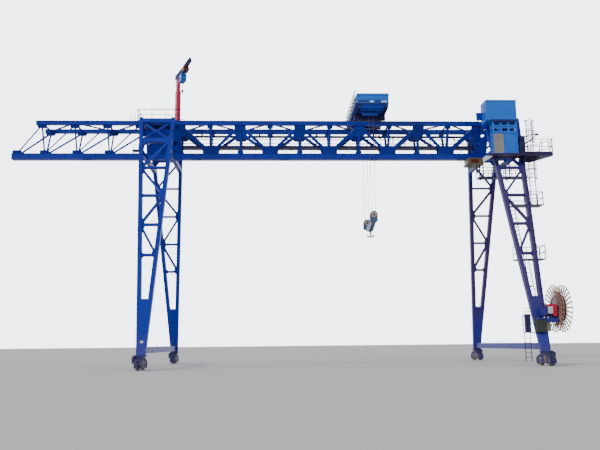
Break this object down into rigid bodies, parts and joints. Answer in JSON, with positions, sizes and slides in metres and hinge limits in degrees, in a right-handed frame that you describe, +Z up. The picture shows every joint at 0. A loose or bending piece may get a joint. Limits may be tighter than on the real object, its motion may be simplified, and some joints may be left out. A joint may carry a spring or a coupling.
{
  "type": "rail-mounted gantry crane",
  "caption": "Rail-mounted gantry crane: triangular lattice bridge on two A-shaped lattice supports, with trolley, long hook block, cable reel and a short cantilever.",
  "frame": {"origin": "middle of the overall length and width, at the lowest points of the wheels", "axes": "+X along the bridge, away from the cantilever; +Y along the rails, from the front legs to the rear legs; +Z up"},
  "size_m": [39, 17.7, 21.8903],
  "materials": {
    "blue_paint": "satin paint, lightly weathered",
    "azure_paint": "satin paint on sheet",
    "navy_paint": "satin paint",
    "bogie_paint": "greasy paint with ochre marks",
    "red_paint": "satin paint",
    "block_paint": "worn paint",
    "sheave_paint": "worn paint",
    "rail_steel": "dark steel, polished tread",
    "rope_steel": "greased strand",
    "hook_steel": "forged",
    "reel_steel": "grey paint over brown primer",
    "cable_rubber": "matt rubber sheath"
  },
  "bodies": {
    "frame": {"bottom_chord": "blue_paint", "top_chord_front": "blue_paint", "top_chord_rear": "blue_paint", "front_lattice": "blue_paint", "rear_lattice": "blue_paint", "top_bracing": "blue_paint", "trolley_rails": "rail_steel", "walkway_deck": "navy_paint", "walkway_railings": "navy_paint", "leg_front_left": "blue_paint", "leg_rear_left": "blue_paint", "leg_front_right": "blue_paint", "leg_rear_right": "blue_paint", "head_frame_left": "blue_paint", "head_frame_right": "blue_paint", "sill_beam_left": "blue_paint", "sill_beam_right": "blue_paint", "bogie_front_left": "bogie_paint", "bogie_rear_left": "bogie_paint", "bogie_front_right": "bogie_paint", "bogie_rear_right": "bogie_paint", "travel_drives": "bogie_paint", "service_platform": "navy_paint", "platform_railing": "navy_paint", "electrical_house": "azure_paint", "cabinet_rack": "azure_paint", "upper_cabinet": "azure_paint", "under_gangway": "navy_paint", "leg_landings": "navy_paint", "leg_ladders": "navy_paint", "ladder_cage": "navy_paint", "foot_landing": "navy_paint", "foot_cabinets": "azure_paint", "festoon_track": "navy_paint", "festoon_cables": "cable_rubber", "reel_bracket": "blue_paint", "reel_drive": "red_paint", "top_platform_left": "navy_paint", "jib_post": "red_paint"},
    "trolley": {"trolley_frame": "navy_paint", "trolley_wheels": "rail_steel", "trolley_house": "azure_paint", "trolley_railing": "navy_paint"},
    "block": {"hoist_ropes": "rope_steel", "hook_block": "block_paint", "block_sheaves": "sheave_paint"},
    "hook_swivel_body": {"hook": "hook_steel"},
    "jib": {"jib_arm": "navy_paint", "jib_hoist": "azure_paint"},
    "reel": {"reel_wheel": "reel_steel", "reel_cable": "cable_rubber"},
    "wheel_front_left_a_body": {"wheel_front_left_a": "rail_steel"},
    "wheel_front_left_b_body": {"wheel_front_left_b": "rail_steel"},
    "wheel_rear_left_a_body": {"wheel_rear_left_a": "rail_steel"},
    "wheel_rear_left_b_body": {"wheel_rear_left_b": "rail_steel"},
    "wheel_front_right_a_body": {"wheel_front_right_a": "rail_steel"},
    "wheel_front_right_b_body": {"wheel_front_right_b": "rail_steel"},
    "wheel_rear_right_a_body": {"wheel_rear_right_a": "rail_steel"},
    "wheel_rear_right_b_body": {"wheel_rear_right_b": "rail_steel"}
  },
  "joints": [
    {"name": "trolley_travel", "type": "slide", "parent": "frame", "child": "trolley", "axis": [1, 0, 0], "range_m": [-12.6, 6.5]},
    {"name": "hoist", "type": "slide", "parent": "trolley", "child": "block", "axis": [0, 0, 1], "range_m": [-8.7, 3.6], "deforming": ["hoist_ropes"]},
    {"name": "hook_swivel", "type": "hinge", "parent": "block", "child": "hook_swivel_body", "pos_m": [7.02, 0, 9.5], "axis": [0, 0, 1], "continuous": true},
    {"name": "jib_slew", "type": "hinge", "parent": "frame", "child": "jib", "pos_m": [-7.4, 0, 21.45], "axis": [0, 0, 1], "range_deg": [-150, 150]},
    {"name": "reel_spin", "type": "hinge", "parent": "frame", "child": "reel", "pos_m": [18, -6.7, 3.56], "axis": [1, 0, 0], "continuous": true},
    {"name": "roll_front_left_a", "type": "hinge", "parent": "frame", "child": "wheel_front_left_a_body", "pos_m": [-8.3, -8.15, 0.27], "axis": [1, 0, 0], "continuous": true},
    {"name": "roll_front_left_b", "type": "hinge", "parent": "frame", "child": "wheel_front_left_b_body", "pos_m": [-8.3, -6.65, 0.27], "axis": [1, 0, 0], "continuous": true},
    {"name": "roll_rear_left_a", "type": "hinge", "parent": "frame", "child": "wheel_rear_left_a_body", "pos_m": [-8.3, 6.65, 0.27], "axis": [1, 0, 0], "continuous": true},
    {"name": "roll_rear_left_b", "type": "hinge", "parent": "frame", "child": "wheel_rear_left_b_body", "pos_m": [-8.3, 8.15, 0.27], "axis": [1, 0, 0], "continuous": true},
    {"name": "roll_front_right_a", "type": "hinge", "parent": "frame", "child": "wheel_front_right_a_body", "pos_m": [16.7, -8.15, 0.27], "axis": [1, 0, 0], "continuous": true},
    {"name": "roll_front_right_b", "type": "hinge", "parent": "frame", "child": "wheel_front_right_b_body", "pos_m": [16.7, -6.65, 0.27], "axis": [1, 0, 0], "continuous": true},
    {"name": "roll_rear_right_a", "type": "hinge", "parent": "frame", "child": "wheel_rear_right_a_body", "pos_m": [16.7, 6.65, 0.27], "axis": [1, 0, 0], "continuous": true},
    {"name": "roll_rear_right_b", "type": "hinge", "parent": "frame", "child": "wheel_rear_right_b_body", "pos_m": [16.7, 8.15, 0.27], "axis": [1, 0, 0], "continuous": true}
  ]
}
